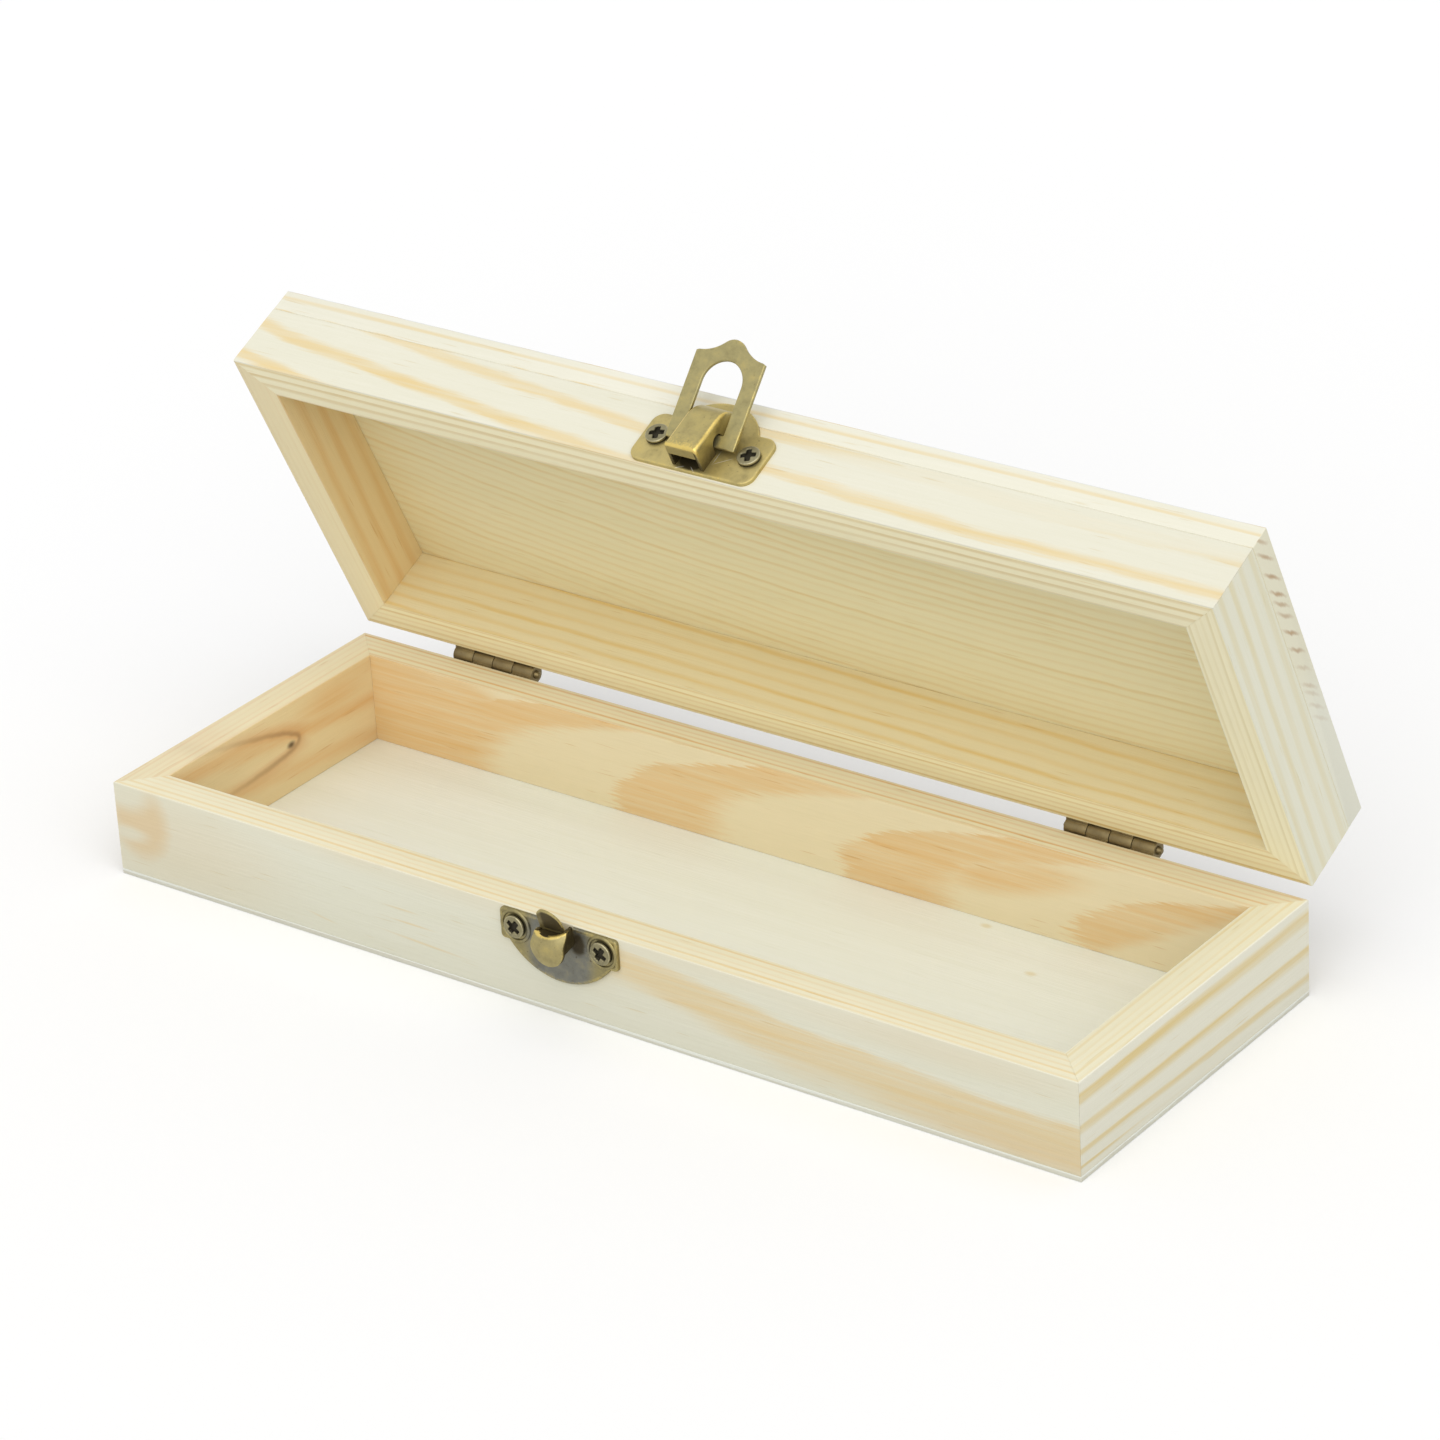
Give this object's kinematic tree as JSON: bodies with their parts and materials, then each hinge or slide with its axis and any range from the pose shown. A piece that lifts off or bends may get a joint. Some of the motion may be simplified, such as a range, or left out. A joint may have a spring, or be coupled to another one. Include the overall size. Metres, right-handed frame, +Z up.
{
  "type": "wooden pencil case",
  "caption": "Shallow pine pencil case standing open: mitred tray and lid on small butt hinges, with a brass hasp on the lid's front and a hooked keeper on the tray.",
  "frame": {"origin": "middle of the tray's underside, on the surface that the case stands on", "axes": "+X along the case to its right, -Y to the front with the latch, +Z up"},
  "size_m": [0.2, 0.0899, 0.1009],
  "materials": {
    "pine": "sanded, unfinished",
    "bottom_pine": "sanded, unfinished",
    "panel_pine": "sanded, unfinished",
    "hasp_brass": "antiqued, worn edges",
    "keeper_brass": "antiqued, dark patina",
    "hinge_brass": "antiqued, dark",
    "screw_metal": "antiqued, greyed"
  },
  "bodies": {
    "tray": {"tray_front": "pine", "tray_back": "pine", "tray_left": "pine", "tray_right": "pine", "tray_bottom": "bottom_pine", "left_hinge_tray_leaf": "hinge_brass", "right_hinge_tray_leaf": "hinge_brass", "left_hinge_pin": "hinge_brass", "right_hinge_pin": "hinge_brass", "tray_hinge_screws": "screw_metal", "keeper_plate": "keeper_brass", "keeper_screws": "screw_metal"},
    "lid": {"lid_front": "pine", "lid_back": "pine", "lid_left": "pine", "lid_right": "pine", "lid_panel": "panel_pine", "left_hinge_lid_leaf": "hinge_brass", "right_hinge_lid_leaf": "hinge_brass", "lid_hinge_screws": "screw_metal", "hasp_plate": "hasp_brass", "hasp_screws": "screw_metal"},
    "hasp": {"hasp_loop": "hasp_brass"}
  },
  "joints": [
    {"name": "lid_hinge", "type": "hinge", "parent": "tray", "child": "lid", "pos_m": [0, 0.0364, 0.0181], "axis": [-1, 0, 0], "range_deg": [-65, 115]},
    {"name": "hasp_swing", "type": "hinge", "parent": "lid", "child": "hasp", "pos_m": [-0.0016, 0.01138, 0.08714], "axis": [-1, 0, 0], "range_deg": [-155, 25]}
  ]
}
